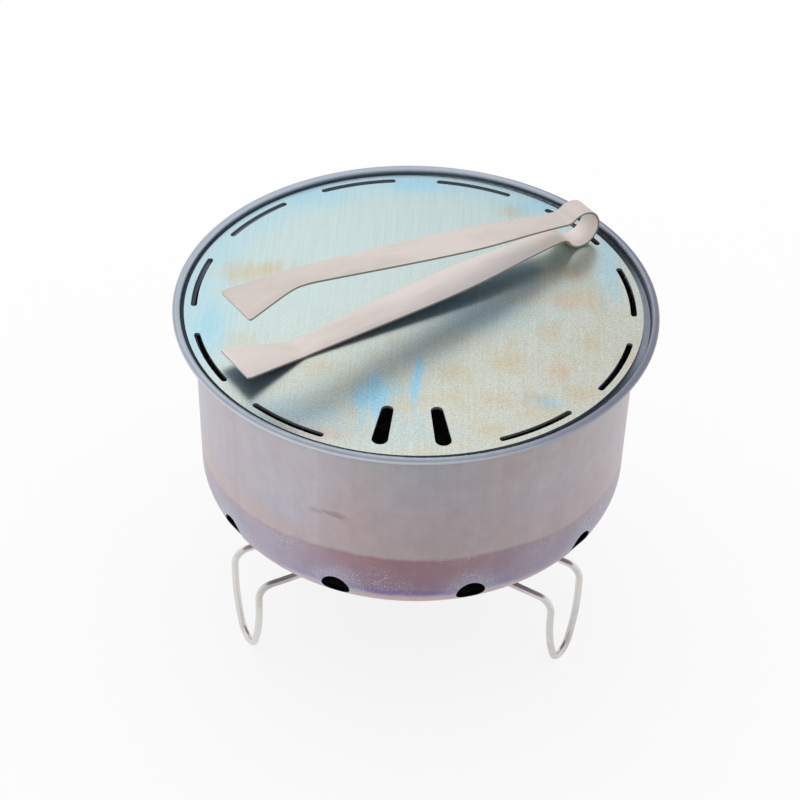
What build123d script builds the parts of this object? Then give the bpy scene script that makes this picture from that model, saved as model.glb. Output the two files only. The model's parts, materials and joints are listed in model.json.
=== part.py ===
from build123d import *
from math import cos, radians, sin, sqrt, tan
import os

# A folding wood stove: a spun titanium bowl on three folding wire legs, with a lift-out
# griddle plate in its rim, a fire grate inside and a pair of strip tongs on the plate.
# Millimetres. The origin is on the ground under the bowl's axis, +Z up, front towards -Y.

# Wire legs
WIRE_DIAMETER = 2.5
LEG_PLACES = ("back", "front_left", "front_right")
LEG_REACH = 63.4
LEG_WIDTH = 19.8
ARM_HEIGHT = 33.9
ARM_BEND_RADIUS = 4.9
FOOT_ARCH_HEIGHT = 23.4
FOOT_RADIUS = 6.0
HINGE_REACH = 43.0
PIN_BEND_RADIUS = 2.5
PIN_END_GAP = 2.0

# Leg brackets
BRACKET_SHEET = 0.8
BRACKET_WIDTH = 24.0
BRACKET_TAB_LENGTH = 10.0
BRACKET_STOP_LENGTH = 3.5
BRACKET_CORNER_RADIUS = 2.0
KNUCKLE_WALL = 0.8
KNUCKLE_LENGTH = 13.0
PIN_CLEARANCE = 0.05
STOP_GAP = 0.1

# Bowl
BOWL_SHEET = 0.6
BOWL_DEPTH = 89.7
BASE_FLAT_DIAMETER = 84.0
BASE_CORNER_RADIUS = 8.0
CONE_ANGLE = 44.0
SHOULDER_RADIUS = 14.0
WALL_TAPER_ANGLE = 1.0
RIM_DIAMETER = 160.0
BEAD_DIAMETER = 2.5
BEAD_CURL_ANGLE = 250.0
RIM_ABOVE_PLATE = 2.2
LEDGE_WIDTH = 5.4
LEDGE_BEND_RADIUS = 1.0

# Vents through the shoulder
VENT_COUNT = 10
VENT_DIAMETER = 9.8
VENT_TILT_ANGLE = 20.0
VENT_REACH = 3.0

# Griddle plate
PLATE_THICKNESS = 1.0
PLATE_CLEARANCE = 1.9
PLATE_SHIFT_X = -0.7
PLATE_SHIFT_Y = 0.6
PLATE_TURN_ANGLE = 1.8
ARC_SLOT_PLACES = 11
ARC_SLOT_INSET = 3.2
ARC_SLOT_WIDTH = 2.1
ARC_SLOT_SPAN_ANGLE = 19.7
LIFT_SLOT_ANGLE = 8.2
LIFT_SLOT_INSET = 6.8
LIFT_SLOT_LENGTH = 14.3
LIFT_SLOT_INNER_WIDTH = 4.0
LIFT_SLOT_OUTER_WIDTH = 5.2

# Fire grate
GRATE_THICKNESS = 1.0
GRATE_BELOW_SHOULDER = 10.4
GRATE_SEAT_GAP = 0.3
GRATE_HOLE_DIAMETER = 6.0
GRATE_HOLE_SPACING = 13.0
GRATE_FIRST_RING_HOLES = 6

# Tongs, in a plane of their own: distance along the tongs from the middle, then height over the plate
TONGS_AZIMUTH = 216.8
TONGS_CENTRE_Y = 1.8
STRIP_THICKNESS = 0.8
BOW_DIAMETER = 13.9
BOW_INSET = 10.1
BOW_NECK_RADIUS = 4.0
BOW_WIDTH = 8.6
ARM_WIDTH = 13.0
ARM_SWELL_LENGTH = 42.0
ARM_KINK_WIDTH = 8.9
ARM_WAIST_RADIUS = 12.0
TIP_WIDTH = 17.8
TIP_CORNER_RADIUS = 1.2
LOWER_SLOPE_ANGLE = -2.74
LOWER_KINK_RADIUS = 12.0
LOWER_TIP_INSET = 5.6
LOWER_TIP_LENGTH = 23.5
LOWER_TIP_HEIGHT = 4.7
UPPER_NECK_HEIGHT = 11.5
UPPER_SLOPE_ANGLE = 9.7
UPPER_KINK_RADIUS = 50.0
UPPER_TIP_INSET = 6.6
UPPER_TIP_LENGTH = 20.2
UPPER_TIP_DROP = 2.6

# Heights and radii that follow from the sizes above
wire_radius = WIRE_DIAMETER / 2
base_z = ARM_HEIGHT + wire_radius + STOP_GAP + BRACKET_SHEET
ledge_z = base_z + BOWL_DEPTH
plate_top_z = ledge_z + PLATE_THICKNESS
rim_radius = RIM_DIAMETER / 2
bead_centre_z = plate_top_z + RIM_ABOVE_PLATE - BEAD_DIAMETER / 2
upstand_inner_radius = rim_radius - BEAD_DIAMETER
plate_radius = upstand_inner_radius - PLATE_CLEARANCE

shoulder_angle = 90 - CONE_ANGLE
base_flat_radius = BASE_FLAT_DIAMETER / 2
shoulder_centre_r = upstand_inner_radius - LEDGE_WIDTH - SHOULDER_RADIUS
cone_foot_r = base_flat_radius + BASE_CORNER_RADIUS * sin(radians(CONE_ANGLE))
cone_foot_z = base_z + BASE_CORNER_RADIUS * (1 - cos(radians(CONE_ANGLE)))
cone_top_r = shoulder_centre_r + SHOULDER_RADIUS * cos(radians(shoulder_angle))
cone_top_z = cone_foot_z + (cone_top_r - cone_foot_r) * tan(radians(CONE_ANGLE))
shoulder_centre_z = cone_top_z + SHOULDER_RADIUS * sin(radians(shoulder_angle))


def shoulder_point(angle, radius):
    """A point on a circle about the shoulder's centre, angle in degrees below level."""
    r = shoulder_centre_r + radius * cos(radians(angle))
    z = shoulder_centre_z - radius * sin(radians(angle))
    return (r, z)


def towards(centre, target, radius):
    """The point at a radius from a centre in the direction of a target."""
    return centre + (target - centre).normalized() * radius


def corner_arc(start, corner, end):
    """A quarter turn from start to end, tangent to the two lines that meet at the corner."""
    centre = start + end - corner
    return ThreePointArc(start, towards(centre, corner, (start - centre).length), end)


def flat_plane(azimuth, height, centre=(0, 0)):
    """A level plane whose X points outwards along an azimuth."""
    outwards = (cos(radians(azimuth)), sin(radians(azimuth)), 0)
    return Plane(origin=(*centre, height), x_dir=outwards, z_dir=(0, 0, 1))


def save(node, name):
    """Label a finished sub-part and write its STEP file."""
    node.part.label = name
    export_step(node.part, f"parts/{name}.step")


os.makedirs("parts", exist_ok=True)

# Bowl: one sheet from the flat base to the rolled rim, drawn along its middle line
half_sheet = BOWL_SHEET / 2
mid_shoulder = SHOULDER_RADIUS - half_sheet
mid_base_z = base_z + half_sheet
mid_ledge_z = ledge_z - half_sheet
wall_foot = shoulder_point(WALL_TAPER_ANGLE, mid_shoulder)
wall_top_r = wall_foot[0] + (mid_ledge_z - wall_foot[1]) * tan(radians(WALL_TAPER_ANGLE))
mid_upstand_r = upstand_inner_radius + half_sheet

with BuildPart() as stove_body:
    with BuildSketch(Plane.XZ):
        with BuildLine():
            Line((0, mid_base_z), (base_flat_radius, mid_base_z))
            CenterArc(
                (base_flat_radius, base_z + BASE_CORNER_RADIUS),
                BASE_CORNER_RADIUS - half_sheet,
                -90,
                CONE_ANGLE,
            )
            Line(
                (
                    cone_foot_r - half_sheet * sin(radians(CONE_ANGLE)),
                    cone_foot_z + half_sheet * cos(radians(CONE_ANGLE)),
                ),
                shoulder_point(shoulder_angle, mid_shoulder),
            )
            CenterArc(
                (shoulder_centre_r, shoulder_centre_z),
                mid_shoulder,
                -shoulder_angle,
                shoulder_angle - WALL_TAPER_ANGLE,
            )
            FilletPolyline(
                wall_foot,
                (wall_top_r, mid_ledge_z),
                (mid_upstand_r, mid_ledge_z),
                (mid_upstand_r, bead_centre_z),
                radius=LEDGE_BEND_RADIUS,
            )
            CenterArc(
                (rim_radius - BEAD_DIAMETER / 2, bead_centre_z),
                BEAD_DIAMETER / 2 - half_sheet,
                180,
                -BEAD_CURL_ANGLE,
            )
        trace(line_width=BOWL_SHEET)
    revolve(axis=Axis.Z)
    for place in range(VENT_COUNT):
        azimuth = radians(-90 + (place + 0.5) * 360 / VENT_COUNT)
        r, z = shoulder_point(VENT_TILT_ANGLE, SHOULDER_RADIUS)
        level = cos(radians(VENT_TILT_ANGLE))
        outwards = (level * cos(azimuth), level * sin(azimuth), -sin(radians(VENT_TILT_ANGLE)))
        with BuildSketch(Plane(origin=(r * cos(azimuth), r * sin(azimuth), z), z_dir=outwards)):
            Circle(VENT_DIAMETER / 2)
        extrude(amount=VENT_REACH, both=True, mode=Mode.SUBTRACT)
save(stove_body, "stove_body")

# Griddle plate, lying loose in the rim: arc slots all round but for the front, where two radial
# slots take the tongs' tips
plate_centre = (PLATE_SHIFT_X, PLATE_SHIFT_Y)
lift_slot_end = plate_radius - LIFT_SLOT_INSET

with BuildPart() as griddle_plate:
    with BuildSketch(flat_plane(PLATE_TURN_ANGLE, ledge_z, plate_centre)):
        Circle(plate_radius)
        for place in range(1, ARC_SLOT_PLACES):
            with BuildLine(mode=Mode.PRIVATE) as slot_line:
                CenterArc(
                    (0, 0),
                    plate_radius - ARC_SLOT_INSET,
                    -90 + place * 360 / ARC_SLOT_PLACES - ARC_SLOT_SPAN_ANGLE / 2,
                    ARC_SLOT_SPAN_ANGLE,
                )
            SlotArc(slot_line.edge(), ARC_SLOT_WIDTH, mode=Mode.SUBTRACT)
    extrude(amount=PLATE_THICKNESS)
    for side in (-1, 1):
        slot_azimuth = PLATE_TURN_ANGLE - 90 + side * LIFT_SLOT_ANGLE
        with BuildSketch(flat_plane(slot_azimuth, ledge_z, plate_centre)):
            with Locations((lift_slot_end - LIFT_SLOT_LENGTH, 0)):
                Circle(LIFT_SLOT_INNER_WIDTH / 2)
            with Locations((lift_slot_end, 0)):
                Circle(LIFT_SLOT_OUTER_WIDTH / 2)
            make_hull()
        extrude(amount=PLATE_THICKNESS, mode=Mode.SUBTRACT)
save(griddle_plate, "griddle_plate")

# Fire grate: a flat perforated disc whose lower edge rests on the inside of the shoulder
inner_shoulder = SHOULDER_RADIUS - BOWL_SHEET
grate_z = shoulder_centre_z - GRATE_BELOW_SHOULDER
grate_radius = (
    shoulder_centre_r + sqrt(inner_shoulder**2 - GRATE_BELOW_SHOULDER**2) - GRATE_SEAT_GAP
)
grate_ring_count = int((grate_radius - GRATE_HOLE_DIAMETER) / GRATE_HOLE_SPACING)

with BuildPart() as fire_grate:
    with BuildSketch(Plane.XY.offset(grate_z)):
        Circle(grate_radius)
        Circle(GRATE_HOLE_DIAMETER / 2, mode=Mode.SUBTRACT)
        for ring in range(1, grate_ring_count + 1):
            with PolarLocations(ring * GRATE_HOLE_SPACING, GRATE_FIRST_RING_HOLES * ring):
                Circle(GRATE_HOLE_DIAMETER / 2, mode=Mode.SUBTRACT)
    extrude(amount=GRATE_THICKNESS)
save(fire_grate, "fire_grate")

# Legs: one wire each, its turned-in ends the hinge pins, bent down and round a narrow foot
leg_azimuths = {
    place: 90 + number * 360 / len(LEG_PLACES) for number, place in enumerate(LEG_PLACES)
}
half_leg = LEG_WIDTH / 2
arch_z = wire_radius + FOOT_ARCH_HEIGHT
foot_centre = Vector(0, wire_radius + FOOT_RADIUS)
side_arc_radius = (half_leg**2 + (FOOT_ARCH_HEIGHT - FOOT_RADIUS) ** 2 - FOOT_RADIUS**2) / (
    2 * (half_leg - FOOT_RADIUS)
)
side_centre = Vector(half_leg - side_arc_radius, arch_z)
side_end = towards(side_centre, foot_centre, side_arc_radius)
side_middle = towards(side_centre, (Vector(half_leg, arch_z) + side_end) * 0.5, side_arc_radius)


def build_leg(azimuth):
    """One wire leg that points along an azimuth, in its standing place."""
    plane = flat_plane(azimuth, 0)

    def at(reach, across, height):
        return plane.from_local_coords((reach, across, height))

    with BuildPart() as leg:
        with BuildLine() as wire:
            for side in (1, -1):
                pin_end = at(HINGE_REACH, side * PIN_END_GAP / 2, ARM_HEIGHT)
                pin_start = at(HINGE_REACH, side * (half_leg - PIN_BEND_RADIUS), ARM_HEIGHT)
                pin_corner = at(HINGE_REACH, side * half_leg, ARM_HEIGHT)
                arm_start = at(HINGE_REACH + PIN_BEND_RADIUS, side * half_leg, ARM_HEIGHT)
                arm_end = at(LEG_REACH - ARM_BEND_RADIUS, side * half_leg, ARM_HEIGHT)
                knee = at(LEG_REACH, side * half_leg, ARM_HEIGHT)
                shin = at(LEG_REACH, side * half_leg, ARM_HEIGHT - ARM_BEND_RADIUS)
                arch = at(LEG_REACH, side * half_leg, arch_z)
                Line(pin_end, pin_start)
                corner_arc(pin_start, pin_corner, arm_start)
                Line(arm_start, arm_end)
                corner_arc(arm_end, knee, shin)
                Line(shin, arch)
                ThreePointArc(
                    arch,
                    at(LEG_REACH, side * side_middle.X, side_middle.Y),
                    at(LEG_REACH, side * side_end.X, side_end.Y),
                )
            ThreePointArc(
                at(LEG_REACH, side_end.X, side_end.Y),
                at(LEG_REACH, 0, wire_radius),
                at(LEG_REACH, -side_end.X, side_end.Y),
            )
        pin_tip = at(HINGE_REACH, PIN_END_GAP / 2, ARM_HEIGHT)
        across = at(HINGE_REACH, 1, ARM_HEIGHT) - at(HINGE_REACH, 0, ARM_HEIGHT)
        with BuildSketch(Plane(origin=pin_tip, z_dir=across)):
            Circle(wire_radius)
        sweep(path=wire.line)
    return leg


for place, azimuth in leg_azimuths.items():
    save(build_leg(azimuth), f"leg_{place}")

# Brackets: a flat tab under the base, with a knuckle rolled round the leg's two pins
knuckle_bore = wire_radius + PIN_CLEARANCE
tab_z = base_z - BRACKET_SHEET


def build_bracket(azimuth):
    """One bracket; its outer edge is the stop that the leg's arms bear up against."""
    hinge = flat_plane(azimuth, ARM_HEIGHT).from_local_coords((HINGE_REACH, 0, 0))
    across = (-sin(radians(azimuth)), cos(radians(azimuth)), 0)
    with BuildPart() as bracket:
        with BuildSketch(flat_plane(azimuth, tab_z)):
            with Locations((HINGE_REACH + (BRACKET_STOP_LENGTH - BRACKET_TAB_LENGTH) / 2, 0)):
                RectangleRounded(
                    BRACKET_TAB_LENGTH + BRACKET_STOP_LENGTH,
                    BRACKET_WIDTH,
                    BRACKET_CORNER_RADIUS,
                )
        extrude(amount=BRACKET_SHEET)
        with BuildSketch(Plane(origin=hinge, z_dir=across)):
            Circle(knuckle_bore + KNUCKLE_WALL)
        extrude(amount=KNUCKLE_LENGTH / 2, both=True)
        with BuildSketch(Plane(origin=hinge, z_dir=across)):
            Circle(knuckle_bore)
        extrude(amount=KNUCKLE_LENGTH / 2, both=True, mode=Mode.SUBTRACT)
    return bracket


for place, azimuth in leg_azimuths.items():
    save(build_bracket(azimuth), f"bracket_{place}")

# Tongs: one strip on edge to its own upright plane, a lower arm, a round bow and an upper arm,
# each arm broadest near the bow, with a waist at its kink and spreading to a flat tip
half_strip = STRIP_THICKNESS / 2
along = (cos(radians(TONGS_AZIMUTH)), sin(radians(TONGS_AZIMUTH)), 0)
tongs_side = Plane(
    origin=(0, TONGS_CENTRE_Y, plate_top_z), x_dir=along, z_dir=(along[1], -along[0], 0)
)
tongs_plan = Plane(origin=(0, TONGS_CENTRE_Y, plate_top_z), x_dir=along, z_dir=(0, 0, 1))
mid_bow = BOW_DIAMETER / 2 - half_strip
bow_centre = Vector(BOW_INSET - plate_radius, BOW_DIAMETER / 2)


def neck(point, slope, side):
    """Centre of the neck's bend between the bow and an arm, and where the bend meets the arm.

    The arm's line passes through a point at a slope; side is +1 where the bend lies over it.
    """
    direction = Vector(cos(radians(slope)), sin(radians(slope)))
    normal = Vector(-direction.Y, direction.X) * side
    start = point + normal * BOW_NECK_RADIUS
    offset = start - bow_centre
    reach = mid_bow + BOW_NECK_RADIUS
    middle = offset.dot(direction)
    run = -middle + sqrt(middle**2 - offset.dot(offset) + reach**2)
    centre = start + direction * run
    return centre, centre - normal * BOW_NECK_RADIUS


lower_tip = Vector(plate_radius - LOWER_TIP_INSET, LOWER_TIP_HEIGHT)
lower_kink = Vector(lower_tip.X - LOWER_TIP_LENGTH, half_strip)
lower_bend, lower_neck = neck(lower_kink, LOWER_SLOPE_ANGLE, -1)
upper_point = Vector(bow_centre.X + BOW_DIAMETER / 2, UPPER_NECK_HEIGHT)
upper_bend, upper_neck = neck(upper_point, UPPER_SLOPE_ANGLE, 1)
lower_meet = towards(bow_centre, lower_bend, mid_bow)
upper_meet = towards(bow_centre, upper_bend, mid_bow)
lower_bend_middle = towards(lower_bend, (lower_neck + lower_meet) * 0.5, BOW_NECK_RADIUS)
upper_bend_middle = towards(upper_bend, (upper_neck + upper_meet) * 0.5, BOW_NECK_RADIUS)
bow_far_side = bow_centre - Vector(mid_bow, 0)

with BuildPart() as tongs_bow:
    with BuildSketch(tongs_side):
        with BuildLine():
            ThreePointArc(lower_neck, lower_bend_middle, lower_meet)
            ThreePointArc(lower_meet, bow_far_side, upper_meet)
            ThreePointArc(upper_meet, upper_bend_middle, upper_neck)
        trace(line_width=STRIP_THICKNESS)
    extrude(amount=BOW_WIDTH / 2, both=True)
save(tongs_bow, "tongs_bow")


def build_arm(neck_end, kink, tip, kink_radius):
    """One arm of the tongs, along a line from the neck past its kink to the spread tip."""
    past_tip = tip + (tip - kink).normalized() * STRIP_THICKNESS
    near_neck = neck_end.X - STRIP_THICKNESS
    broadest = (neck_end.X + ARM_SWELL_LENGTH, ARM_WIDTH / 2)
    waist = (kink.X, ARM_KINK_WIDTH / 2)
    taper = (kink.X - broadest[0], waist[1] - broadest[1])
    with BuildPart() as arm:
        with BuildSketch(tongs_side):
            with BuildLine():
                FilletPolyline(neck_end, kink, past_tip, radius=kink_radius)
            trace(line_width=STRIP_THICKNESS)
        extrude(amount=TIP_WIDTH / 2, both=True)
        with BuildSketch(tongs_plan) as outline:
            with BuildLine():
                swell = Spline((near_neck, BOW_WIDTH / 2), broadest, tangents=((1, 0), (1, 0)))
                narrowing = Spline(broadest, waist, tangents=((1, 0), taper))
                Polyline(
                    narrowing @ 1, (tip.X, TIP_WIDTH / 2), (tip.X, 0), (near_neck, 0), swell @ 0
                )
            make_face()
            mirror(about=Plane.XZ)
            fillet(outline.vertices().group_by(Axis.X)[-2], ARM_WAIST_RADIUS)
        extrude(amount=kink.Y + TIP_WIDTH, both=True, mode=Mode.INTERSECT)
        tip_corners = arm.edges().group_by(Axis(tongs_side.origin, tongs_side.x_dir))[-1]
        fillet(tip_corners.sort_by(SortBy.LENGTH)[:2], TIP_CORNER_RADIUS)
    return arm


upper_kink_x = plate_radius - UPPER_TIP_INSET - UPPER_TIP_LENGTH
upper_kink = upper_neck + Vector(1, tan(radians(UPPER_SLOPE_ANGLE))) * (upper_kink_x - upper_neck.X)
upper_tip = upper_kink + Vector(UPPER_TIP_LENGTH, -UPPER_TIP_DROP)
save(build_arm(lower_neck, lower_kink, lower_tip, LOWER_KINK_RADIUS), "tongs_lower_arm")
save(build_arm(upper_neck, upper_kink, upper_tip, UPPER_KINK_RADIUS), "tongs_upper_arm")
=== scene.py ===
import json
from functools import cached_property
from math import cos, pi, radians, sin, sqrt, tan

import bmesh
import bpy
from bpy.props import FloatProperty, FloatVectorProperty, PointerProperty
from bpy.types import Operator, Panel, PropertyGroup
from mathutils import Matrix, Vector


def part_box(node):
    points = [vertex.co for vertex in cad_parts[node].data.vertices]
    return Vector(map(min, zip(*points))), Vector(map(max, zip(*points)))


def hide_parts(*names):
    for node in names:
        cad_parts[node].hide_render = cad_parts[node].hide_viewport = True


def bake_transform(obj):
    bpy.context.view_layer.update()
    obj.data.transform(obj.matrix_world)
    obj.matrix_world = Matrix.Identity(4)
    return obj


bl_info = {
    "name": "Folding titanium wood stove",
    "version": (1, 0, 0),
    "blender": (4, 5, 0),
    "location": "View3D > Sidebar > Stove",
    "description": "Gives a folding wood stove its heat-tinted titanium, its tongs and its studio",
    "category": "Object",
}

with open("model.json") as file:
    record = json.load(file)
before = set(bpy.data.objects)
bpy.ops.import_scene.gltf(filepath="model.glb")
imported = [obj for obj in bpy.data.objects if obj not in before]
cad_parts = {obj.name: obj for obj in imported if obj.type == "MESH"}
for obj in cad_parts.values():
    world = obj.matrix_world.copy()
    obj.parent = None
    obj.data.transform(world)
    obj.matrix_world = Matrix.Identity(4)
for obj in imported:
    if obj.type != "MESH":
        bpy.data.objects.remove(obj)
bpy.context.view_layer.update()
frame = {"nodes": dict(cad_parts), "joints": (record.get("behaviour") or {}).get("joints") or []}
nodes = frame["nodes"]
joints = {joint["name"]: joint for joint in frame["joints"]}

MM = 0.001

bowl_low, bowl_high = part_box("stove_body")
base_z, rim_top_z, rim_radius = bowl_low.z, bowl_high.z, bowl_high.x
plate_low, plate_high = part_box("griddle_plate")
ledge_z, plate_top_z = plate_low.z, plate_high.z
plate_radius = (plate_high.x - plate_low.x) / 2


def colour(red, green, blue):
    """A screen colour, each part from 0 to 255, as the linear colour that a shader takes."""
    parts = (red / 255, green / 255, blue / 255)
    return tuple(p / 12.92 if p <= 0.04045 else ((p + 0.055) / 1.055) ** 2.4 for p in parts)


def colour_setting(name, description, red, green, blue):
    """A colour that the sidebar shows."""
    return FloatVectorProperty(
        name=name,
        description=description,
        default=colour(red, green, blue),
        subtype="COLOR",
        size=3,
        min=0,
        max=1,
    )


def length_setting(name, description, millimetres):
    """A length that the sidebar shows in the scene's units."""
    return FloatProperty(
        name=name, description=description, default=millimetres * MM, unit="LENGTH", precision=5
    )


def angle_setting(name, description, angle):
    """An angle that the sidebar shows in degrees."""
    return FloatProperty(
        name=name, description=description, default=radians(angle), subtype="ANGLE"
    )


def share_setting(name, description, share):
    """A number from 0 to 1 that the sidebar shows as a slider."""
    return FloatProperty(
        name=name, description=description, default=share, subtype="FACTOR", min=0, max=1
    )


class Signal:
    """A value on its way through a material, so that sums of masks read as Python."""

    def __init__(self, paint, socket):
        self.paint = paint
        self.socket = socket

    def __add__(self, other):
        return self.paint.maths("ADD", self, other)

    __radd__ = __add__

    def __sub__(self, other):
        return self.paint.maths("SUBTRACT", self, other)

    def __rsub__(self, other):
        return self.paint.maths("SUBTRACT", other, self)

    def __mul__(self, other):
        return self.paint.maths("MULTIPLY", self, other)

    __rmul__ = __mul__

    def __truediv__(self, other):
        return self.paint.maths("DIVIDE", self, other)

    def __pow__(self, other):
        return self.paint.maths("POWER", self, other)

    def __abs__(self):
        return self.paint.maths("ABSOLUTE", self)

    def rise(self, low, high):
        """0 up to low, 1 from high on, with a soft step between them."""
        return self.paint.node(
            "ShaderNodeMapRange",
            {"interpolation_type": "SMOOTHSTEP"},
            {"Value": self, "From Min": low, "From Max": high},
        )

    def fall(self, low, high):
        """1 up to low, 0 from high on."""
        return 1 - self.rise(low, high)


class Paint:
    """The nodes of a material or the world, with patterns read in object space."""

    def __init__(self, tree):
        self.tree = tree

    def node(self, kind, settings, inputs, output=0):
        """Adds a node with its settings and inputs, and gives one of its outputs, if any."""
        made = self.tree.nodes.new(kind)
        for name, value in settings.items():
            if name == "stops":
                self.set_stops(made.color_ramp.elements, value)
            else:
                setattr(made, name, value)
        for name, value in inputs.items():
            self.feed(made.inputs[name], value)
        return Signal(self, made.outputs[output]) if made.outputs else None

    def set_stops(self, elements, stops):
        """Gives a colour ramp its stops, a place and a colour each, from low to high."""
        while len(elements) < len(stops):
            elements.new(1)
        for element, (position, shade) in zip(elements, stops):
            element.position = position
            element.color = (*shade, 1)

    def feed(self, socket, value):
        """Links a signal to a socket, or sets the socket to a value."""
        if isinstance(value, Signal):
            self.tree.links.new(value.socket, socket)
        elif socket.type == "RGBA":
            socket.default_value = (*value, 1)
        else:
            socket.default_value = value

    @cached_property
    def place(self):
        """Object coordinates."""
        return self.node("ShaderNodeTexCoord", {}, {}, "Object")

    @cached_property
    def facing(self):
        """The way that the surface faces, along the object's axes."""
        return self.node("ShaderNodeTexCoord", {}, {}, "Normal")

    @cached_property
    def in_mm(self):
        """Object coordinates in mm, and the reach from the stove's axis."""
        x, y, z = (part / MM for part in self.apart(self.place))
        return x, y, z, (x * x + y * y) ** 0.5

    def maths(self, operation, *values):
        """A Math node on numbers and signals."""
        return self.node("ShaderNodeMath", {"operation": operation}, dict(enumerate(values)))

    def apart(self, vector):
        """The three parts of a vector."""
        outputs = self.node("ShaderNodeSeparateXYZ", {}, {0: vector}).socket.node.outputs
        return tuple(Signal(self, output) for output in outputs)

    def together(self, x, y, z):
        """A vector of three values."""
        return self.node("ShaderNodeCombineXYZ", {}, {0: x, 1: y, 2: z})

    def vector_math(self, operation, first, second, output="Vector"):
        """A Vector Math node on two vectors."""
        settings = {"operation": operation}
        return self.node("ShaderNodeVectorMath", settings, {0: first, 1: second}, output)

    def stretched(self, x, y, z, vector=None):
        """Coordinates with each axis scaled, for grain and streaks."""
        return self.vector_math("MULTIPLY", vector or self.place, (x, y, z))

    def turned(self, angle):
        """Object coordinates turned about Z, for grain along a piece."""
        inputs = {"Vector": self.place, "Rotation": (0, 0, angle)}
        return self.node("ShaderNodeMapping", {}, inputs)

    def noise(self, scale, detail=2.0, roughness=0.5, vector=None):
        """Smooth noise about one half, its scale in waves to the metre."""
        inputs = {
            "Vector": vector or self.place,
            "Scale": scale,
            "Detail": detail,
            "Roughness": roughness,
        }
        return self.node("ShaderNodeTexNoise", {}, inputs)

    def dots(self, spacing, low, high):
        """Round dots, one to each cell of a spacing in mm, sized as a share of the cell."""
        inputs = {"Vector": self.place, "Scale": 1 / (spacing * MM)}
        return self.node("ShaderNodeTexVoronoi", {}, inputs, "Distance").fall(low, high)

    def edges(self, reach):
        """1 along edges and corners to a reach in mm, 0 on flats."""
        rounded = self.node("ShaderNodeBevel", {"samples": 4}, {"Radius": reach * MM})
        plain = self.node("ShaderNodeNewGeometry", {}, {}, "Normal")
        return self.vector_math("DOT_PRODUCT", rounded, plain, "Value").fall(0.75, 0.99)

    def mix(self, factor, first, second):
        """Two colours mixed by a factor."""
        settings = {"data_type": "RGBA"}
        return self.node("ShaderNodeMix", settings, {0: factor, 6: first, 7: second}, 2)

    def scaled(self, shade, brightness):
        """A colour made darker or lighter."""
        settings = {"operation": "SCALE"}
        return self.node("ShaderNodeVectorMath", settings, {0: shade, "Scale": brightness})


class Metal(Paint):
    """A metal material, whose colour, roughness and relief vary over the surface."""

    def __init__(self, name):
        self.material = bpy.data.materials.new(name)
        self.material.use_nodes = True
        super().__init__(self.material.node_tree)

    def finish(self, shade, roughness, relief, depth, metallic=1.0):
        """Feeds the shader a colour, a roughness and a relief of a depth in mm."""
        shader = self.tree.nodes["Principled BSDF"]
        bumped = self.node("ShaderNodeBump", {}, {"Height": relief, "Distance": depth * MM})
        inputs = {
            "Base Color": shade,
            "Metallic": metallic,
            "Roughness": roughness,
            "Normal": bumped,
        }
        for name, value in inputs.items():
            self.feed(shader.inputs[name], value)
        return self.material


def dress(material, *names):
    """Gives the carried-over nodes a material."""
    for name in names:
        for slot in nodes[name].material_slots:
            slot.material = material


class BowlFinish(PropertyGroup):
    """Sizes and colours of the bowl's heat tint, from the rim down."""

    rim: colour_setting("Rim", "Rolled rim", 160, 168, 180)
    # rim_painted_shade: painted shade on the rim at the right
    rim_painted_shade: colour_setting("Dark rim", "Lavender tint of the rim at the right", 112, 110, 130)
    # rim_inside_light: painted light on the rim's inner face
    rim_inside_light: colour_setting("Rim's inside", "Pale inner face of the rim", 192, 200, 210)
    upper_wall: colour_setting("Upper wall", "Just under the rim", 181, 174, 176)
    wall: colour_setting("Wall", "Middle of the wall", 184, 174, 178)
    lower_wall: colour_setting("Lower wall", "Just over the tinted band", 183, 170, 173)
    band_top: colour_setting("Band top", "Upper part of the mauve band", 160, 128, 136)
    band: colour_setting("Band", "Lower part of the mauve band", 156, 132, 150)
    band_line: colour_setting("Band line", "Violet line through the vents", 132, 116, 160)
    underside: colour_setting("Underside", "Rosy tint under the shoulder", 196, 172, 176)
    base: colour_setting("Base", "Flat base and cone", 150, 142, 150)
    cool: colour_setting("Cool tint", "Bluish haze at the sides and round the vents", 174, 179, 196)
    rose: colour_setting("Rosy tint", "Rosy clouds on the wall", 190, 164, 166)
    speck: colour_setting("Specks", "Pale specks and scratches in the band", 246, 242, 248)
    # inside: near-black colour painted inside the bowl
    inside: colour_setting("Inside", "Sooty inside", 40, 40, 44)
    # groove: colour of the painted shade in the gap round the plate
    groove: colour_setting("Groove", "Soot in the groove round the plate", 50, 60, 74)
    # bare_edge is rubbed metal at the vents and also paints the highlight along the rim's outer
    # edge
    bare_edge: colour_setting("Bare edge", "Rubbed metal at the rim and vents", 222, 222, 228)
    band_height: length_setting("Band height", "Top of the mauve band over the ground", 81)
    line_height: length_setting("Line height", "Violet line over the ground", 66.6)
    vent_height: length_setting("Vent height", "Middle of the vents over the ground", 63.2)
    vent_pitch: angle_setting("Vent pitch", "Turn from one vent to the next", 36)
    lip_radius: length_setting("Lip radius", "Inner face of the rim, round the plate", 77.5)
    scuff_x: length_setting("Scuff X", "Middle of the scuff on the wall", -24)
    scuff_height: length_setting("Scuff height", "Middle of the scuff over the ground", 95)
    roughness: share_setting("Roughness", "Roughness of the spun wall", 0.34)


class GriddleFinish(PropertyGroup):
    """Colours of the griddle plate's heat tint."""

    pale: colour_setting("Pale", "Blue-green at the back and left", 190, 207, 206)
    warm: colour_setting("Warm", "Warmer grey at the front and right", 198, 199, 187)
    gold: colour_setting("Gold", "Light brown stains", 198, 178, 142)
    rose: colour_setting("Rose", "Rosy stains", 202, 176, 160)
    blue: colour_setting("Blue", "Blue patches", 148, 202, 226)
    slate: colour_setting("Slate", "Cut walls of the slots", 120, 128, 136)
    bare_edge: colour_setting("Bare edge", "Rubbed metal at the slots and the edge", 222, 228, 230)
    roughness: share_setting("Roughness", "Roughness of the ground plate", 0.3)


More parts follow.
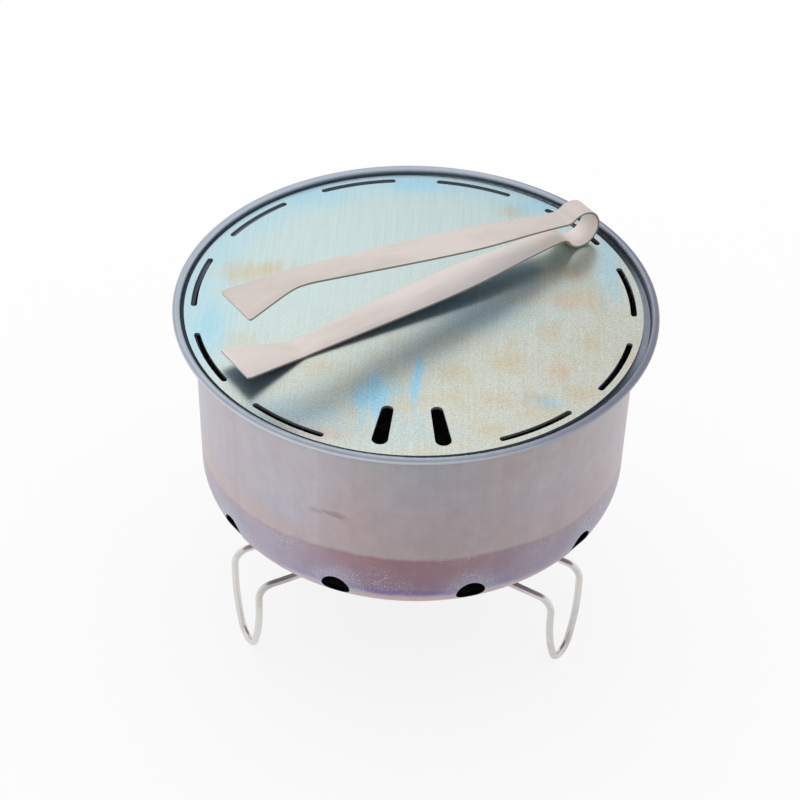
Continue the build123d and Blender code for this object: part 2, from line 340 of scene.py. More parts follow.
class TongsFinish(PropertyGroup):
    """Sizes and colours of the tongs' one bent strip."""

    thickness: length_setting("Strip", "Thickness of the strip", 0.8)
    bow_diameter: length_setting("Bow", "Outer diameter of the round bow", 13.9)
    bow_inset: length_setting("Bow inset", "Bow's centre in from the plate's edge", 10.1)
    bow_width: length_setting("Bow width", "Width of the strip at the bow", 8.6)
    neck_radius: length_setting("Neck radius", "Bend between the bow and an arm", 4)
    arm_width: length_setting("Arm width", "Width at the broadest place of an arm", 13)
    swell: length_setting("Swell", "Length from the bow to the broadest place", 42)
    waist_width: length_setting("Waist width", "Width at the waist, where the tip begins", 8.9)
    waist_softness: length_setting("Waist softness", "How far the waist's corner is eased", 0.9)
    tip_width: length_setting("Tip width", "Width at the tip's end", 17.8)
    corner_radius: length_setting("Corner radius", "Round of the tip's corners", 1.2)
    lower_slope: angle_setting("Lower slope", "Slope of the lower arm", -2.74)
    lower_kink_radius: length_setting("Lower kink", "Bend of the lower arm at its tip", 12)
    lower_tip_inset: length_setting("Lower tip inset", "Lower tip in from the plate's edge", 5.6)
    lower_tip: length_setting("Lower tip", "Length of the lower tip", 23.5)
    lower_tip_height: length_setting("Lower tip height", "Height of the lower tip's end", 4.7)
    upper_neck_height: length_setting("Upper neck", "Height of the upper arm at the bow", 11.5)
    upper_slope: angle_setting("Upper slope", "Slope of the upper arm", 9.7)
    upper_kink_radius: length_setting("Upper kink", "Bend of the upper arm at its tip", 50)
    upper_tip_inset: length_setting("Upper tip inset", "Upper tip in from the plate's edge", 6.6)
    upper_tip: length_setting("Upper tip", "Length of the upper tip", 20.2)
    upper_tip_drop: length_setting("Upper tip drop", "Fall of the upper tip to its end", 2.6)
    edge_round: length_setting("Edge round", "Round of the strip's edges", 0.14)
    metal: colour_setting("Metal", "Blasted warm grey", 230, 220, 214)
    smudge: colour_setting("Smudge", "Handled patches", 204, 194, 190)
    cut_edge: colour_setting("Cut edge", "Dull cut edges of the strip", 150, 144, 140)
    # underside: painted shade, a blue-grey tint under the arms whose reflection darkens the plate
    underside: colour_setting("Underside", "Blue-grey heat tint under the arms", 150, 166, 192)
    bare_edge: colour_setting("Bare edge", "Rubbed metal at the corners", 238, 233, 228)
    roughness: share_setting("Roughness", "Roughness of the blasted strip", 0.5)


class WireFinish(PropertyGroup):
    """Colours of the wire legs, brackets and grate."""

    wire: colour_setting("Wire", "Drawn wire", 226, 223, 220)
    wire_dull: colour_setting("Dull wire", "Dull lengths of the wire", 160, 156, 153)
    bracket: colour_setting("Bracket", "Folded sheet", 178, 174, 180)
    weld: colour_setting("Weld tint", "Violet patches that welding left", 128, 110, 150)
    grate: colour_setting("Grate", "Fire-darkened sheet", 96, 90, 92)
    grate_ash: colour_setting("Ash", "Ash on the grate", 158, 154, 150)
    bare_edge: colour_setting("Bare edge", "Rubbed metal at edges", 214, 211, 210)


class StudioSettings(PropertyGroup):
    """Camera, floor, sky and softbox."""

    azimuth: angle_setting("Azimuth", "Camera's turn about the stove", 1.79)
    elevation: angle_setting("Elevation", "Camera's height over the level", 39.56)
    roll: angle_setting("Roll", "Camera's tilt about its own axis", 1.38)
    distance: length_setting("Distance", "Camera to the point that it looks at", 769)
    target_x: length_setting("Target X", "Point that the camera looks at", -3.025)
    target_y: length_setting("Target Y", "Point that the camera looks at", -48.558)
    target_z: length_setting("Target Z", "Point that the camera looks at", 126.75)
    lens: FloatProperty(name="Lens", description="Focal length", default=110.2, unit="CAMERA")
    key: FloatProperty(name="Key", description="Softbox's power", default=0.8, unit="POWER")
    softbox_size: length_setting("Softbox", "Side of the square softbox", 800)
    softbox_place: FloatVectorProperty(
        name="Softbox place",
        description="Middle of the softbox, which looks at the stove",
        default=(-0.25, 0.5, 0.9),
        subtype="TRANSLATION",
        unit="LENGTH",
    )
    floor_size: length_setting("Floor", "Side of the square floor", 6000)
    floor_glow: share_setting("Floor glow", "Plain white that the floor adds", 0.8)
    floor_diffuse: share_setting("Floor white", "Share of light that the floor returns", 0.2)
    floor_mirrored: share_setting("Mirrored floor", "White of the floor in the metal", 0.799)
    floor_shade: share_setting("Floor shade", "How much dimmer it is close to the stove", 0.306)
    shade_x: length_setting("Shade X", "Middle of the floor's shade", 90)
    shade_y: length_setting("Shade Y", "Middle of the floor's shade", -240)
    shade_reach: length_setting("Shade reach", "Where the floor's shade ends", 300)
    sky_mirrored: share_setting("Mirrored sky", "White of the sky in the metal", 0.95)
    sky_shade: share_setting("Sky shade", "How much dimmer it is on the camera's side", 0.2)


# height over the top of the mauve band in mm, the bowl's heat tint there
HEAT_TINTS = [
    (-29, "base"),
    (-21, "underside"),
    (-17, "underside"),
    (-15, "band"),
    (-11.4, "band"),
    (-3, "band_top"),
    (-0.6, "band_top"),
    (0.8, "lower_wall"),
    (11, "lower_wall"),
    (23, "wall"),
    (39, "upper_wall"),
    (44, "rim"),
]


def heat_tint(paint, height, finish):
    """The bowl's colour from its base up to its rim, at a height in mm."""
    foot, band = base_z / MM, finish.band_height / MM
    rise = rim_top_z / MM - foot
    stops = [((band + over - foot) / rise, getattr(finish, tint)) for over, tint in HEAT_TINTS]
    return paint.node("ShaderNodeValToRGB", {"stops": stops}, {0: (height - foot) / rise})


def wall_tint(paint, height, on_band, finish):
    """The heat tint with cool and rosy clouds, the violet line and cool haze at the sides."""
    x, _, z, _ = paint.in_mm
    band, line = finish.band_height / MM, finish.line_height / MM
    on_wall = z.rise(band, band + 10) * z.fall(116, 122)
    cloud = paint.noise(24, 3, vector=paint.stretched(1, 1, 0.5))
    tint = heat_tint(paint, height, finish)
    tint = paint.mix(cloud.rise(0.5, 0.66) * 0.4 * on_wall, tint, finish.cool)
    tint = paint.mix(cloud.fall(0.36, 0.52) * 0.5 * on_wall, tint, finish.rose)
    on_line = height.rise(line - 1.8, line - 0.4) * height.fall(line + 0.4, line + 1.8)
    tint = paint.mix(on_line * abs(x).fall(26, 46), tint, finish.band_line)
    tint = paint.mix(x.rise(0, 60) * 0.5 * on_band, tint, finish.cool)
    return paint.mix(x.fall(-50, -5) * 0.55 * (on_band + on_wall * 0.5), tint, finish.cool)


def round_vents(paint, wobble, finish):
    """1 close round the vents, 0 away from them."""
    x, y, z, reach = paint.in_mm
    turn = paint.maths("ARCTAN2", y, x)
    beside = paint.maths("PINGPONG", turn, finish.vent_pitch / 2) * reach
    over = z - finish.vent_height / MM
    return ((beside * beside + over * over) ** 0.5 + wobble * 0.8).fall(5, 13)


def inside_bowl(paint):
    """1 where the sheet faces the bowl's middle, under the ledge, and 0 outside."""
    z = paint.in_mm[2]
    ledge = ledge_z / MM
    from_middle = paint.vector_math("SUBTRACT", paint.place, (0, 0, ledge_z))
    outwards = paint.vector_math("DOT_PRODUCT", paint.facing, from_middle, "Value")
    return outwards.fall(-0.5 * MM, 0.5 * MM) * z.fall(ledge - 0.4, ledge - 0.2)


def tinted_rim(paint, tint, finish):
    """The rim, with lavender painted shade at the right, painted light on its inner face and a
    painted highlight along its outer edge.
    """
    x, _, z, reach = paint.in_mm
    ledge, rim, lip = ledge_z / MM, rim_radius / MM, finish.lip_radius / MM
    on_rim = z.rise(ledge + 0.2, ledge + 0.8)
    # painted shade: the rim is darkened towards the right
    tint = paint.mix(x.rise(10, 75) * 0.75 * on_rim, tint, finish.rim_painted_shade)
    # painted light: the rim's inner face is made pale, less so towards the right
    pale = reach.fall(lip + 0.4, lip + 1) * (0.9 - x.rise(0, 70) * 0.4)
    tint = paint.mix(pale * on_rim, tint, finish.rim_inside_light)
    # painted highlight: a pale line along the rim's outer edge, fainter towards the right
    rubbed = reach.rise(rim - 0.25, rim - 0.03) * (1 - x.rise(0, 60) * 0.7)
    return paint.mix(rubbed * 0.6 * on_rim, tint, finish.bare_edge)


def groove_shade(paint, finish):
    """Painted shade on the ledge round the plate, in the gap at the plate's edge: thin behind and
    fainter at the right.
    """
    x, y, z, reach = paint.in_mm
    ledge, lip = ledge_z / MM, finish.lip_radius / MM
    groove = reach.fall(lip + 0.05, lip + 0.25)
    groove = groove * z.rise(ledge - 0.3, ledge - 0.1) * z.fall(ledge + 0.2, ledge + 0.7)
    behind = y.rise(0, 60) * x.fall(20, 60)
    bare = y.rise(-40, -15) * y.fall(12, 40) * x.rise(30, 60) * reach.fall(lip - 0.6, lip - 0.2)
    return groove * (0.9 - behind * 0.6 - bare * 0.6)


def band_specks(paint, halo):
    """1 on the pale specks and dashes low on the band, thicker round the vents."""
    _, y, z, _ = paint.in_mm
    dense = (paint.noise(55, 2) * 0.9 + halo * 0.26 + y.fall(-70, 0) * 0.05).rise(0.46, 0.62)
    dashes = paint.noise(1, 2, 0.6, paint.stretched(900, 900, 2600)).rise(0.64, 0.72)
    return dense * z.rise(62, 66) * (paint.dots(0.7, 0.12, 0.26) * 0.8 + dashes * 0.7)


def scuff(paint, finish):
    """1 in the smears of the scuff on the front of the wall."""
    x, y, z, _ = paint.in_mm
    along = (x - finish.scuff_x / MM) / 8
    over = (z - finish.scuff_height / MM) / 2.6
    smears = paint.noise(1, 3, 0.6, paint.stretched(170, 170, 480)).rise(0.46, 0.62)
    return (along * along + over * over).fall(0.1, 1) * y.fall(-30, 0) * smears


def bowl_metal(finish):
    """Spun titanium: grey-lilac wall, painted lighter at the left and darker at the right, mauve
    band on the shoulder, dark inside.
    """
    paint = Metal("bowl_titanium_tinted")
    x, _, z, reach = paint.in_mm
    ledge, band = ledge_z / MM, finish.band_height / MM
    wobble = (paint.noise(30, 3) - 0.5) * 4 + (paint.noise(220, 2) - 0.5) * 1.2
    height = z + wobble + x * x * 0.0012 + abs(x).fall(5, 36) * 1.3
    on_band = z.rise(58, 64) * height.fall(band - 1, band + 1)
    halo = round_vents(paint, wobble, finish) * on_band
    tint = paint.mix(halo * 0.4, wall_tint(paint, height, on_band, finish), finish.cool)

    streak = paint.noise(1, 3, 0.6, paint.stretched(260, 260, 7))
    mottle = paint.noise(160, 4, 0.6)
    fine = paint.noise(1300, 2, 0.7)
    uneven = (mottle - 0.5) * 0.3 + (streak - 0.5) * 0.16 + (fine - 0.5) * 0.16
    # painted light and shade: the wall's colour is made lighter towards the left and darker towards
    # the right
    tint = paint.scaled(tint, 1.01 + uneven + x.fall(-70, 10) * 0.1 - x.rise(20, 75) * 0.1)
    specks = band_specks(paint, halo) * on_band
    tint = paint.mix(specks, tint, finish.speck)
    tint = paint.scaled(tint, 1 - scuff(paint, finish) * 0.28)

    inside = inside_bowl(paint)
    wear = paint.edges(0.5) * (1 - inside) * z.fall(ledge - 2, ledge)
    tint = paint.mix(wear * 0.7, tint, finish.bare_edge)
    # the sheet inside the bowl, under the ledge, is painted near-black
    dark_inside = paint.scaled(finish.inside, 0.6 + paint.noise(90, 4, 0.6) * 0.8)
    tint = tinted_rim(paint, paint.mix(inside, tint, dark_inside), finish)
    # painted shade: darkens the ledge in the gap round the plate
    groove = groove_shade(paint, finish)
    tint = paint.mix(groove, tint, finish.groove)

    roughness = finish.roughness - 0.05 + mottle * 0.1 + specks * 0.2 + (inside + groove) * 0.3
    rings = paint.noise(1, 2, 0.5, paint.together(0, 0, (z + reach) * 1.8))
    return paint.finish(tint, roughness, rings + mottle * 0.6 + streak * 0.5, 0.01)


# x, y, reach along x, reach along y in mm on the plate, colour, strength
STAINS_AND_REFLECTION = [
    (-56, 15, 11, 6, "gold", 0.6),
    (-47, 19, 6, 4, "gold", 0.35),
    (31, 57, 5, 4, "gold", 0.7),
    (12, -34, 5, 4, "gold", 0.35),
    (30, -27, 5, 6, "gold", 0.45),
    (44, -10, 5, 5, "gold", 0.4),
    (57, -15, 4, 7, "gold", 0.4),
    (56, 10, 9, 7, "gold", 0.4),
    (13, -46, 4, 4, "gold", 0.3),
    (54, -41, 6, 4, "gold", 0.4),
    (61, 2, 4, 6, "gold", 0.3),
    (-31, -33, 9, 5, "gold", 0.35),
    (-55, -22, 7, 4, "gold", 0.35),
    (47, -31, 4, 5, "rose", 0.6),
    (28, -46, 7, 4, "rose", 0.35),
    (50, 6, 7, 4, "rose", 0.4),
    (-26, -66, 7, 3, "rose", 0.6),
    (-11, -47, 7, 11, "blue", 0.9),
    (2, -39, 2, 14, "blue", 1.0),
    (41, -46, 6, 4, "slate", 0.2),
    (44, -47, 5, 3, "blue", 0.4),
    (-5, -64, 22, 9, "blue", 0.25),
    (-36, -56, 14, 8, "blue", 0.35),
    (-67, -17, 7, 16, "blue", 0.5),
    (-38, 61, 15, 6, "blue", 0.35),
    (-3, 70, 14, 4, "blue", 0.6),
    (38, 60, 12, 5, "blue", 0.5),
    (64, 26, 5, 22, "blue", 0.5),
    (52, 22, 6, 4, "gold", 0.45),
    # painted reflection: a faint blue band on the plate in front of the tongs, where their
    # underside is mirrored
    (20, -2, 26, 9, "blue", 0.25),
]


def griddle_metal(finish):
    """Ground titanium plate: pale blue-green with light brown, rosy and blue stains, and a painted
    bluish reflection in front of the tongs.
    """
    paint = Metal("griddle_titanium_tinted")
    x, y, _, reach = paint.in_mm
    lean = x * 0.55 - y * 0.85 + (paint.noise(45, 3, 0.6) - 0.5) * 30
    tint = paint.mix(lean.rise(-35, 60) * 0.85, finish.pale, finish.warm)
    edge_blue = reach.rise(56, 74) * lean.fall(-60, 10)
    tint = paint.mix(edge_blue * 0.35, tint, finish.blue)
    cloud = paint.noise(70, 4, 0.65)
    tint = paint.mix(cloud.rise(0.5, 0.68) * 0.3 * lean.rise(-20, 40), tint, finish.gold)
    freckles = paint.noise(330, 4, 0.7).rise(0.48, 0.62) * lean.rise(-30, 20)
    warmth = paint.mix(cloud.rise(0.4, 0.6), finish.rose, finish.gold)
    tint = paint.mix(freckles * 0.18, tint, warmth)
    smear = paint.noise(1, 3, 0.6, paint.stretched(420, 60, 1)) - 0.5
    ragged = (paint.noise(150, 6, 0.75) - 0.5) * 1.8 + smear * 1.8
    for middle_x, middle_y, reach_x, reach_y, shade, strength in STAINS_AND_REFLECTION:
        across = (x - middle_x) / reach_x
        along = (y - middle_y) / reach_y
        spread = (across * across + along * along) ** 0.5 + ragged
        tint = paint.mix(spread.fall(0.1, 1.5) * strength, tint, getattr(finish, shade))

    brushed = paint.noise(1, 3, 0.6, paint.stretched(1100, 36, 1))
    grain = paint.noise(1, 3, 0.7, paint.stretched(1500, 1300, 1))
    coarse = 0.35 + lean.rise(-40, 30) * 0.65
    tint = paint.scaled(tint, 0.97 + (grain - 0.5) * coarse * 0.9 + (brushed - 0.5) * 0.22)
    pits = paint.dots(1.1, 0.08, 0.2) * paint.noise(140, 2).rise(0.5, 0.62)
    tint = paint.mix(pits * 0.35 * coarse, tint, finish.slate)
    cut = abs(paint.apart(paint.facing)[2]).fall(0.3, 0.7)
    tint = paint.mix(cut, tint, paint.scaled(finish.slate, 0.7 + grain * 0.6))
    tint = paint.mix(paint.edges(0.35) * 0.5 * (1 - cut), tint, finish.bare_edge)
    roughness = finish.roughness - 0.06 + grain * 0.08 + brushed * 0.05 + cut * 0.35
    return paint.finish(tint, roughness, grain + brushed, 0.008, 1 - cut * 0.6)


def tongs_metal(finish, turn):
    """Blasted strip: warm grey, faint smudges along the arms, darker cut edges, painted light on
    the lower arm, painted shade at the upper arm's ends and under the arms.

    The turn brings the tongs' length onto X, so that smudges and brushing lie along it.
    """
    paint = Metal("tongs_titanium_blasted")
    straight = paint.turned(turn)
    along = paint.apart(straight)[0] / MM
    smudge = paint.noise(1, 3, 0.6, paint.stretched(22, 70, 70, straight))
    brushed = paint.noise(1, 2, 0.6, paint.stretched(60, 1500, 1500, straight))
    grit = paint.noise(2400, 2, 0.7)
    tint = paint.mix(smudge.rise(0.42, 0.75) * 0.6, finish.metal, finish.smudge)
    over_plate = paint.in_mm[2] - plate_top_z / MM
    lower_arm = over_plate.fall(9, 11)
    # painted light: the lower arm is lightened, more towards the bow, against the shade of the
    # upper arm over it
    bright = 0.91 + lower_arm * (0.12 + along.fall(-40, 50) * 0.1)
    # painted shade: the upper arm is darkened towards both ends
    bright = bright - (1 - lower_arm) * abs(along).rise(20, 60) * 0.1
    bright = bright + (grit - 0.5) * 0.2 + (brushed - 0.5) * 0.12
    tint = paint.scaled(tint, bright)
    # painted shade: the arms' undersides are tinted blue-grey so that their reflection in the plate
    # gives a bluish shade
    below = paint.apart(paint.facing)[2].fall(-0.8, -0.5) * along.rise(-52, -50)
    tint = paint.mix(below, tint, finish.underside)
    across = (sin(turn), cos(turn), 0)
    # the strip's cut sides are painted darker
    cut = abs(paint.vector_math("DOT_PRODUCT", paint.facing, across, "Value")).rise(0.5, 0.8)
    tint = paint.mix(cut, tint, paint.scaled(finish.cut_edge, 0.8 + grit * 0.4))
    tint = paint.mix(paint.edges(0.25) * 0.5 * (1 - cut), tint, finish.bare_edge)
    roughness = finish.roughness - 0.06 + grit * 0.08 + smudge * 0.06 + cut * 0.1
    return paint.finish(tint, roughness, grit + brushed * 0.5, 0.008, 0.35 + smudge * 0.1)


def wire_metal(finish):
    """Drawn wire, bright, with a few dull lengths."""
    paint = Metal("wire_titanium_drawn")
    dull = paint.noise(45, 3, 0.6)
    fine = paint.noise(1500, 2, 0.6)
    tint = paint.mix(dull.rise(0.48, 0.72) * 0.6, finish.wire, finish.wire_dull)
    tint = paint.scaled(tint, 0.97 + (fine - 0.5) * 0.12)
    return paint.finish(tint, 0.14 + dull * 0.12 + fine * 0.05, fine, 0.002)


def bracket_metal(finish):
    """Folded sheet with the violet patches of its welding and rubbed edges."""
    paint = Metal("bracket_titanium_tinted")
    cloud = paint.noise(140, 3, 0.6)
    fine = paint.noise(1800, 2, 0.6)
    tint = paint.mix(cloud.rise(0.42, 0.62) * 0.7, finish.bracket, finish.weld)
    tint = paint.scaled(tint, 0.95 + (fine - 0.5) * 0.2)
    tint = paint.mix(paint.edges(0.4) * 0.7, tint, finish.bare_edge)
    return paint.finish(tint, 0.3 + cloud * 0.15, fine, 0.006)


def grate_metal(finish):
    """Perforated sheet darkened by fire, with a little ash and rubbed hole edges."""
    paint = Metal("grate_titanium_fired")
    cloud = paint.noise(80, 4, 0.65)
    fine = paint.noise(1500, 3, 0.65)
    tint = paint.mix(cloud.rise(0.5, 0.72) * 0.6, finish.grate, finish.grate_ash)
    tint = paint.scaled(tint, 0.9 + (fine - 0.5) * 0.5)
    tint = paint.mix(paint.edges(0.5) * 0.5, tint, finish.bare_edge)
    return paint.finish(tint, 0.42 + cloud * 0.25, cloud + fine * 0.4, 0.02)


def towards(centre, target, radius):
    """The point at a radius from a centre in the direction of a target."""
    return centre + (target - centre).normalized() * radius


def neck(bow_centre, reach, radius, point, slope, side):
    """Centre of the bend between the bow and an arm, and where the bend meets the arm.

    The arm's line passes through a point at a slope; side is +1 where the bend lies over it.
    """
    direction = Vector((cos(slope), sin(slope)))
    normal = Vector((-direction.y, direction.x)) * side
    start = point + normal * radius
    offset = start - bow_centre
    middle = offset.dot(direction)
    run = -middle + sqrt(middle**2 - offset.length_squared + reach**2)
    centre = start + direction * run
    return centre, centre - normal * radius


class Strip:
    """A strip bent out of one edge: length along X, width along Y, height along Z."""

    def __init__(self, start):
        self.mesh = bmesh.new()
        sides = [self.mesh.verts.new((start.x, side / 2, start.y)) for side in (-1, 1)]
        self.edge = self.mesh.edges.new(sides)
        self.at = start

    def straight(self, end, steps=1):
        """Goes on to a point in even steps."""
        step = (end - self.at) / steps
        for _ in range(steps):
            made = bmesh.ops.extrude_edge_only(self.mesh, edges=[self.edge])["geom"]
            moved = [part for part in made if isinstance(part, bmesh.types.BMVert)]
            bmesh.ops.translate(self.mesh, vec=(step.x, 0, step.y), verts=moved)
            self.edge = self.mesh.edges.get(moved)
        self.at = end

    def turn(self, centre, angle, steps):
        """Goes round a centre, a positive angle turning from X up towards Z."""
        last = bmesh.ops.spin(
            self.mesh,
            geom=[self.edge, *self.edge.verts],
            cent=(centre.x, 0, centre.y),
            axis=(0, -1, 0),
            angle=angle,
            steps=steps,
        )["geom_last"]
        self.edge = next(part for part in last if isinstance(part, bmesh.types.BMEdge))
        self.at = centre + Matrix.Rotation(angle, 2) @ (self.at - centre)

    def round_to(self, centre, end, sense, steps):
        """Goes round a centre to a point, sense +1 turning from X up towards Z."""
        angle = (end - centre).angle_signed(self.at - centre) * sense % (2 * pi) * sense
        self.turn(centre, angle, steps)

    def corner(self, corner, following, radius, lead_steps, steps):
        """Goes straight towards a corner and rounds it on the way to the point that follows."""
        inwards = (corner - self.at).normalized()
        angle = (following - corner).angle_signed(inwards)
        self.straight(corner - inwards * radius * tan(abs(angle) / 2), lead_steps)
        left = Vector((-inwards.y, inwards.x))
        self.turn(self.at + left * (radius if angle > 0 else -radius), angle, steps)


def arm_width(finish, along, neck_x, kink_x, tip_x):
    """Width of an arm at a distance along the tongs: a swell, a waist and a spread tip."""
    broadest_x = neck_x + finish.swell
    if along < broadest_x:
        grown = max(0, (along - neck_x) / finish.swell)
        return finish.bow_width + (finish.arm_width - finish.bow_width) * grown**2 * (3 - 2 * grown)
    thinned = (along - broadest_x) / (kink_x - broadest_x)
    curve = thinned**2 * (2 - thinned) if thinned < 1 else thinned
    arm = finish.arm_width - (finish.arm_width - finish.waist_width) * curve
    spread = (along - kink_x) / (tip_x - kink_x)
    tip = finish.waist_width + (finish.tip_width - finish.waist_width) * spread
    return (arm + tip + sqrt((arm - tip) ** 2 + finish.waist_softness**2)) / 2


def bend_strip(finish):
    """The tongs' strip as one open sheet: lower tip, lower arm, bow, upper arm and upper tip."""
    half = finish.thickness / 2
    reach = finish.bow_diameter / 2 - half + finish.neck_radius
    bow = Vector((finish.bow_inset - plate_radius, finish.bow_diameter / 2))
    lower_tip = Vector((plate_radius - finish.lower_tip_inset, finish.lower_tip_height))
    lower_kink = Vector((lower_tip.x - finish.lower_tip, half))
    lower_bend, lower_neck = neck(
        bow, reach, finish.neck_radius, lower_kink, finish.lower_slope, -1
    )
    start = Vector((bow.x + finish.bow_diameter / 2, finish.upper_neck_height))
    upper_bend, upper_neck = neck(bow, reach, finish.neck_radius, start, finish.upper_slope, 1)
    run = plate_radius - finish.upper_tip_inset - finish.upper_tip - upper_neck.x
    upper_kink = upper_neck + Vector((1, tan(finish.upper_slope))) * run
    upper_tip = upper_kink + Vector((finish.upper_tip, -finish.upper_tip_drop))

    strip = Strip(lower_tip)
    strip.corner(lower_kink, lower_neck, finish.lower_kink_radius, 12, 6)
    strip.straight(lower_neck, 80)
    strip.round_to(lower_bend, towards(lower_bend, bow, finish.neck_radius), 1, 10)
    strip.round_to(bow, towards(bow, upper_bend, reach - finish.neck_radius), -1, 72)
    strip.round_to(upper_bend, upper_neck, 1, 10)
    strip.corner(upper_kink, upper_tip, finish.upper_kink_radius, 80, 12)
    strip.straight(upper_tip, 8)

    mesh = strip.mesh
    for vert in mesh.verts:
        along, _, height = vert.co
        if height < bow.y:
            width = arm_width(finish, along, lower_neck.x, lower_kink.x, lower_tip.x)
        else:
            width = arm_width(finish, along, upper_neck.x, upper_kink.x, upper_tip.x)
        vert.co.y *= width
    return mesh


def thicken(mesh, thickness, corner_radius, edge_round):
    """Rounds a flat strip's end corners, gives it its thickness and rounds its edges."""
    ends = [vert for vert in mesh.verts if len(vert.link_edges) == 2]
    rounding = {"segments": 4, "profile": 0.5, "material": -1, "clamp_overlap": True}
    bmesh.ops.bevel(mesh, geom=ends, offset=corner_radius, affect="VERTICES", **rounding)
    bmesh.ops.recalc_face_normals(mesh, faces=mesh.faces)
    mesh.normal_update()
    for vert, normal in [(vert, vert.normal.copy()) for vert in mesh.verts]:
        vert.co += normal * thickness / 2
    bmesh.ops.solidify(mesh, geom=mesh.faces, thickness=thickness)
    bmesh.ops.recalc_face_normals(mesh, faces=mesh.faces)
    sharp = [edge for edge in mesh.edges if edge.calc_face_angle(0) > radians(60)]
    rounding["segments"] = 2
    bmesh.ops.bevel(mesh, geom=sharp, offset=edge_round, affect="EDGES", **rounding)


def lay_on_plate(mesh, pivot, along):
    """Turns a strip's own X along the tongs and lays it on the plate."""
    middle = pivot - along * (pivot.x / along.x)
    across = Vector((-along.y, along.x, 0))
    place = Matrix((along, across, Vector((0, 0, 1)))).transposed().to_4x4()
    place.translation = (middle.x, middle.y, plate_top_z)
    mesh.transform(place)


def put_in_scene(mesh, name, material):
    """Makes an object of a finished mesh, with smooth faces and its material."""
    for face in mesh.faces:
        face.smooth = True
    data = bpy.data.meshes.new(name)
    mesh.to_mesh(data)
    mesh.free()
    data.set_sharp_from_angle(angle=radians(40))
    data.materials.append(material)
    made = bpy.data.objects.new(name, data)
    bpy.context.scene.collection.objects.link(made)
    return made


def lay_floor(settings):
    """A white floor that shows as plain white but keeps the stove's shadow."""
    mesh = bmesh.new()
    bmesh.ops.create_grid(mesh, x_segments=1, y_segments=1, size=settings.floor_size / 2)
    material = bpy.data.materials.new("studio_floor")
    material.use_nodes = True
    material.node_tree.nodes.clear()
    paint = Paint(material.node_tree)
    camera_ray = paint.node("ShaderNodeLightPath", {}, {}, "Is Camera Ray")
    glossy_ray = paint.node("ShaderNodeLightPath", {}, {}, "Is Glossy Ray")
    from_shade = paint.vector_math(
        "DISTANCE", paint.place, (settings.shade_x, settings.shade_y, 0), "Value"
    )
    shade = from_shade.fall(0.04, settings.shade_reach) * settings.floor_shade
    mirrored = settings.floor_mirrored - shade
    glow = camera_ray * settings.floor_glow + glossy_ray * mirrored
    shine = paint.node("ShaderNodeEmission", {}, {"Color": (1, 1, 1), "Strength": glow})
    white = (settings.floor_diffuse,) * 3
    matt = paint.node("ShaderNodeBsdfDiffuse", {}, {"Color": white})
    both = paint.node("ShaderNodeAddShader", {}, {0: shine, 1: matt})
    paint.node("ShaderNodeOutputMaterial", {}, {"Surface": both})
    put_in_scene(mesh, "floor", material)


def light_world(settings):
    """White all round, dimmer for the metal towards the camera's side."""
    world = bpy.data.worlds.new("studio_world")
    bpy.context.scene.world = world
    world.use_nodes = True
    world.node_tree.nodes.clear()
    paint = Paint(world.node_tree)
    camera_ray = paint.node("ShaderNodeLightPath", {}, {}, "Is Camera Ray")
    depth = paint.apart(paint.node("ShaderNodeTexCoord", {}, {}, "Generated"))[1]
    mirrored = settings.sky_mirrored - depth.fall(-0.9, -0.1) * settings.sky_shade
    strength = camera_ray + (1 - camera_ray) * mirrored
    sky = paint.node("ShaderNodeBackground", {}, {"Color": (1, 1, 1), "Strength": strength})
    paint.node("ShaderNodeOutputWorld", {}, {"Surface": sky})


def hang_softbox(settings):
    """One large soft lamp over and behind the stove."""
    lamp = bpy.data.lights.new("softbox", "AREA")
    lamp.energy = settings.key
    lamp.size = settings.softbox_size
    softbox = bpy.data.objects.new("softbox", lamp)
    place = Vector(settings.softbox_place)
    facing = place.to_track_quat("Z", "Y").to_matrix().to_4x4()
    softbox.matrix_world = Matrix.Translation(place) @ facing
    bpy.context.scene.collection.objects.link(softbox)


def set_up_camera(settings):
    """The camera where the photograph was taken from."""
    lens = bpy.data.cameras.new("camera")
    lens.lens = settings.lens
    lens.clip_start = 0.01
    camera = bpy.data.objects.new("camera", lens)
    target = Vector((settings.target_x, settings.target_y, settings.target_z))
    camera.matrix_world = (
        Matrix.Translation(target)
        @ Matrix.Rotation(settings.azimuth, 4, "Z")
        @ Matrix.Rotation(pi / 2 - settings.elevation, 4, "X")
        @ Matrix.Rotation(settings.roll, 4, "Z")
        @ Matrix.Translation((0, 0, settings.distance))
    )
    bpy.context.scene.collection.objects.link(camera)
    bpy.context.scene.camera = camera


class STOVE_OT_bowl(Operator):
    """Give the bowl its spun and heat-tinted titanium"""

    bl_idname = "stove.bowl"
    bl_label = "Bowl"

    def execute(self, context):
        dress(bowl_metal(context.scene.stove_bowl), "stove_body")
        return {"FINISHED"}


class STOVE_OT_griddle(Operator):
    """Give the griddle plate its ground and stained titanium"""

    bl_idname = "stove.griddle"
    bl_label = "Griddle plate"

    def execute(self, context):
        dress(griddle_metal(context.scene.stove_griddle), "griddle_plate")
        return {"FINISHED"}


class STOVE_OT_tongs(Operator):
    """Bend the tongs out of one strip"""

    bl_idname = "stove.tongs"
    bl_label = "Tongs"

    def execute(self, context):
        finish = context.scene.stove_tongs
        pivot = Vector(joints["tongs_squeeze"]["pos_m"])
        axis = Vector(joints["tongs_squeeze"]["axis"])
        along = Vector((axis.y, -axis.x, 0))
        mesh = bend_strip(finish)
        thicken(mesh, finish.thickness, finish.corner_radius, finish.edge_round)
        lay_on_plate(mesh, pivot, along)
        turn = Vector((1, 0)).angle_signed(along.to_2d())
        tongs = put_in_scene(mesh, "tongs_strip", tongs_metal(finish, turn))
        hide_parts("tongs_lower_arm", "tongs_bow", "tongs_upper_arm")
        # the strip leaves the lower arm just under the bow's middle and joins the upper at its neck
        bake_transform(tongs)
        return {"FINISHED"}


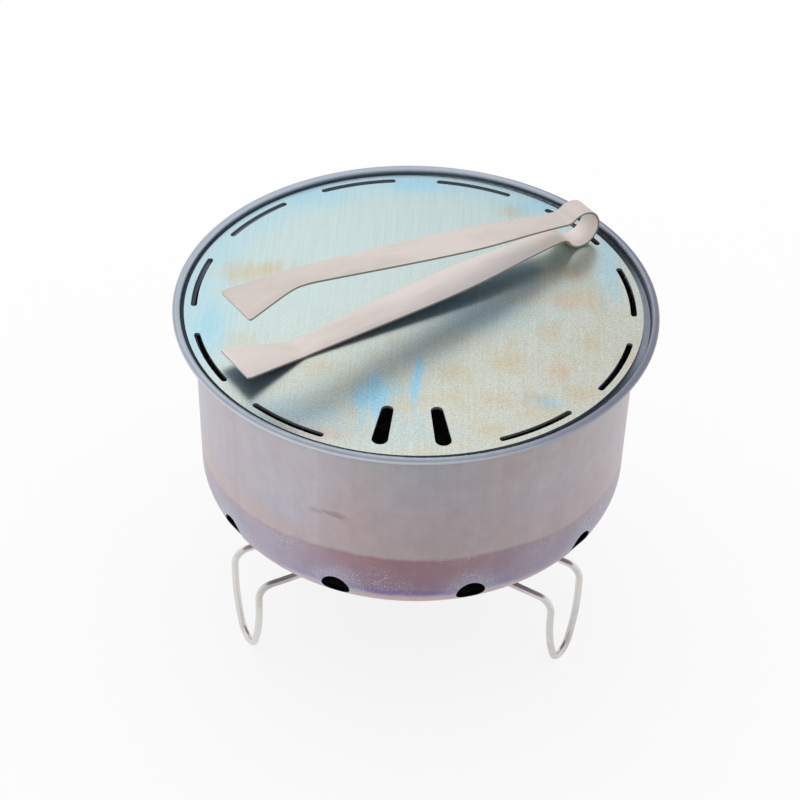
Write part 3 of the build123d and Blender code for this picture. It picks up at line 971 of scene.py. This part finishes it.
class STOVE_OT_legs(Operator):
    """Give the legs, brackets and grate their metal"""

    bl_idname = "stove.legs"
    bl_label = "Legs, brackets and grate"

    def execute(self, context):
        finish = context.scene.stove_wire
        places = ("back", "front_left", "front_right")
        dress(wire_metal(finish), *(f"leg_{place}" for place in places))
        dress(bracket_metal(finish), *(f"bracket_{place}" for place in places))
        dress(grate_metal(finish), "fire_grate")
        return {"FINISHED"}


class STOVE_OT_studio(Operator):
    """Lay the floor, hang the softbox and set up the camera"""

    bl_idname = "stove.studio"
    bl_label = "Studio"

    def execute(self, context):
        settings = context.scene.stove_studio
        lay_floor(settings)
        light_world(settings)
        hang_softbox(settings)
        set_up_camera(settings)
        context.scene.view_settings.view_transform = "Standard"
        return {"FINISHED"}


class STOVE_PT_sidebar(Panel):
    """The stove's steps and settings in the sidebar"""

    bl_label = "Folding wood stove"
    bl_idname = "STOVE_PT_sidebar"
    bl_space_type = "VIEW_3D"
    bl_region_type = "UI"
    bl_category = "Stove"

    def draw(self, context):
        for step, group in STEPS:
            column = self.layout.column(align=True)
            column.operator(step.bl_idname)
            settings = getattr(context.scene, group)
            for name in settings.bl_rna.properties.keys():
                if name not in ("rna_type", "name"):
                    column.prop(settings, name)


GROUPS = {
    "stove_bowl": BowlFinish,
    "stove_griddle": GriddleFinish,
    "stove_tongs": TongsFinish,
    "stove_wire": WireFinish,
    "stove_studio": StudioSettings,
}
STEPS = (
    (STOVE_OT_bowl, "stove_bowl"),
    (STOVE_OT_griddle, "stove_griddle"),
    (STOVE_OT_tongs, "stove_tongs"),
    (STOVE_OT_legs, "stove_wire"),
    (STOVE_OT_studio, "stove_studio"),
)
CLASSES = (*GROUPS.values(), *(step for step, _ in STEPS), STOVE_PT_sidebar)


def register():
    for each in CLASSES:
        bpy.utils.register_class(each)
    for name, group in GROUPS.items():
        setattr(bpy.types.Scene, name, PointerProperty(type=group))


def unregister():
    for name in GROUPS:
        delattr(bpy.types.Scene, name)
    for each in reversed(CLASSES):
        bpy.utils.unregister_class(each)


def main():
    register()
    for step, _ in STEPS:
        area, name = step.bl_idname.split(".")
        getattr(getattr(bpy.ops, area), name)()


if __name__ == "__main__":
    main()
